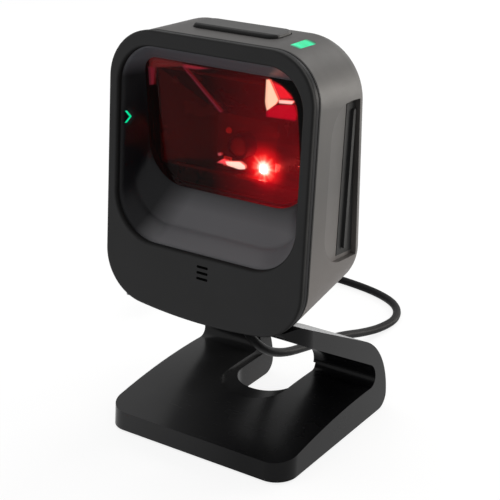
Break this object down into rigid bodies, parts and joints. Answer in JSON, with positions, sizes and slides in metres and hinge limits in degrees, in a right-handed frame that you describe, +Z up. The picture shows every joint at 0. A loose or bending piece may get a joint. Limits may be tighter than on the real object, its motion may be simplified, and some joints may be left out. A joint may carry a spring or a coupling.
{
  "type": "presentation barcode scanner",
  "caption": "Upright hands-free barcode scanner: a rounded imaging head with a deep red window, tilting on a one-piece C-shaped stand, with a coiled lead.",
  "frame": {"origin": "middle of the stand's footprint, on the surface its feet rest on", "axes": "+Z up, -Y the way the window faces, +X to the right of someone looking along +Y"},
  "size_m": [0.1564, 0.1906, 0.1712],
  "materials": {
    "stand_plastic": "polished black",
    "bezel_plastic": "fine satin black",
    "trim_plastic": "satin black",
    "hood_plastic": "fine matt black",
    "housing_plastic": "satin black",
    "window_red": "clear dark red",
    "grip_rubber": "soft matt",
    "shroud_plastic": "matt black",
    "board_green": "solder mask",
    "barrel_metal": "black anodised",
    "lens_glass": "coated",
    "led_ceramic": "white ceramic",
    "led_clear": "clear",
    "aimer_clear": "clear red",
    "socket_plastic": "moulded",
    "sounder_plastic": "moulded",
    "green_light": "frosted, lit green",
    "bracket_zinc": "zinc plated",
    "screw_steel": "zinc plated",
    "switch_metal": "bright",
    "gland_rubber": "soft matt",
    "key_plastic": "smooth black",
    "plunger_plastic": "moulded",
    "ballast_steel": "rolled",
    "cover_plastic": "fine texture",
    "foot_rubber": "matt",
    "pin_steel": "ground",
    "washer_plastic": "waxy",
    "lead_jacket": "matt black",
    "tie_fabric": "woven hook and loop",
    "plug_plastic": "moulded",
    "plug_steel": "nickel plated"
  },
  "bodies": {
    "stand": {"stand_shell": "stand_plastic", "ballast_plate": "ballast_steel", "base_cover": "cover_plastic", "cover_screws": "screw_steel", "rubber_feet": "foot_rubber", "hinge_pin": "pin_steel", "friction_washers": "washer_plastic", "pin_plug": "cover_plastic", "lead": "lead_jacket", "lead_coil": "lead_jacket", "coil_tie": "tie_fabric", "plug_body": "plug_plastic", "plug_shell": "plug_steel"},
    "head": {"front_bezel": "bezel_plastic", "trim_ring": "trim_plastic", "recess_hood": "hood_plastic", "scan_window": "window_red", "rear_housing": "housing_plastic", "grip_insert_left": "grip_rubber", "grip_insert_right": "grip_rubber", "light_shroud": "shroud_plastic", "imager_board": "board_green", "camera_barrel": "barrel_metal", "camera_lens": "lens_glass", "illumination_leds": "led_ceramic", "led_lenses": "led_clear", "aimer_led": "aimer_clear", "main_board": "board_green", "board_connector": "socket_plastic", "lead_socket": "socket_plastic", "sounder": "sounder_plastic", "chevron_light": "green_light", "status_light": "green_light", "hinge_bracket": "bracket_zinc", "bracket_screws": "screw_steel", "housing_screws": "screw_steel", "board_screws": "screw_steel", "key_board": "board_green", "button_switch": "switch_metal", "lead_gland": "gland_rubber"},
    "key": {"top_button": "key_plastic", "switch_plunger": "plunger_plastic"}
  },
  "joints": [
    {"name": "head_tilt", "type": "hinge", "parent": "stand", "child": "head", "pos_m": [0, -0.0268, 0.0603], "axis": [-1, 0, 0], "range_deg": [-10, 18]},
    {"name": "key_press", "type": "slide", "parent": "head", "child": "key", "axis": [0, -0.0889, -0.996], "range_m": [0, 0.001], "stiffness_N_per_m": 500, "springref_m": -0.003}
  ]
}
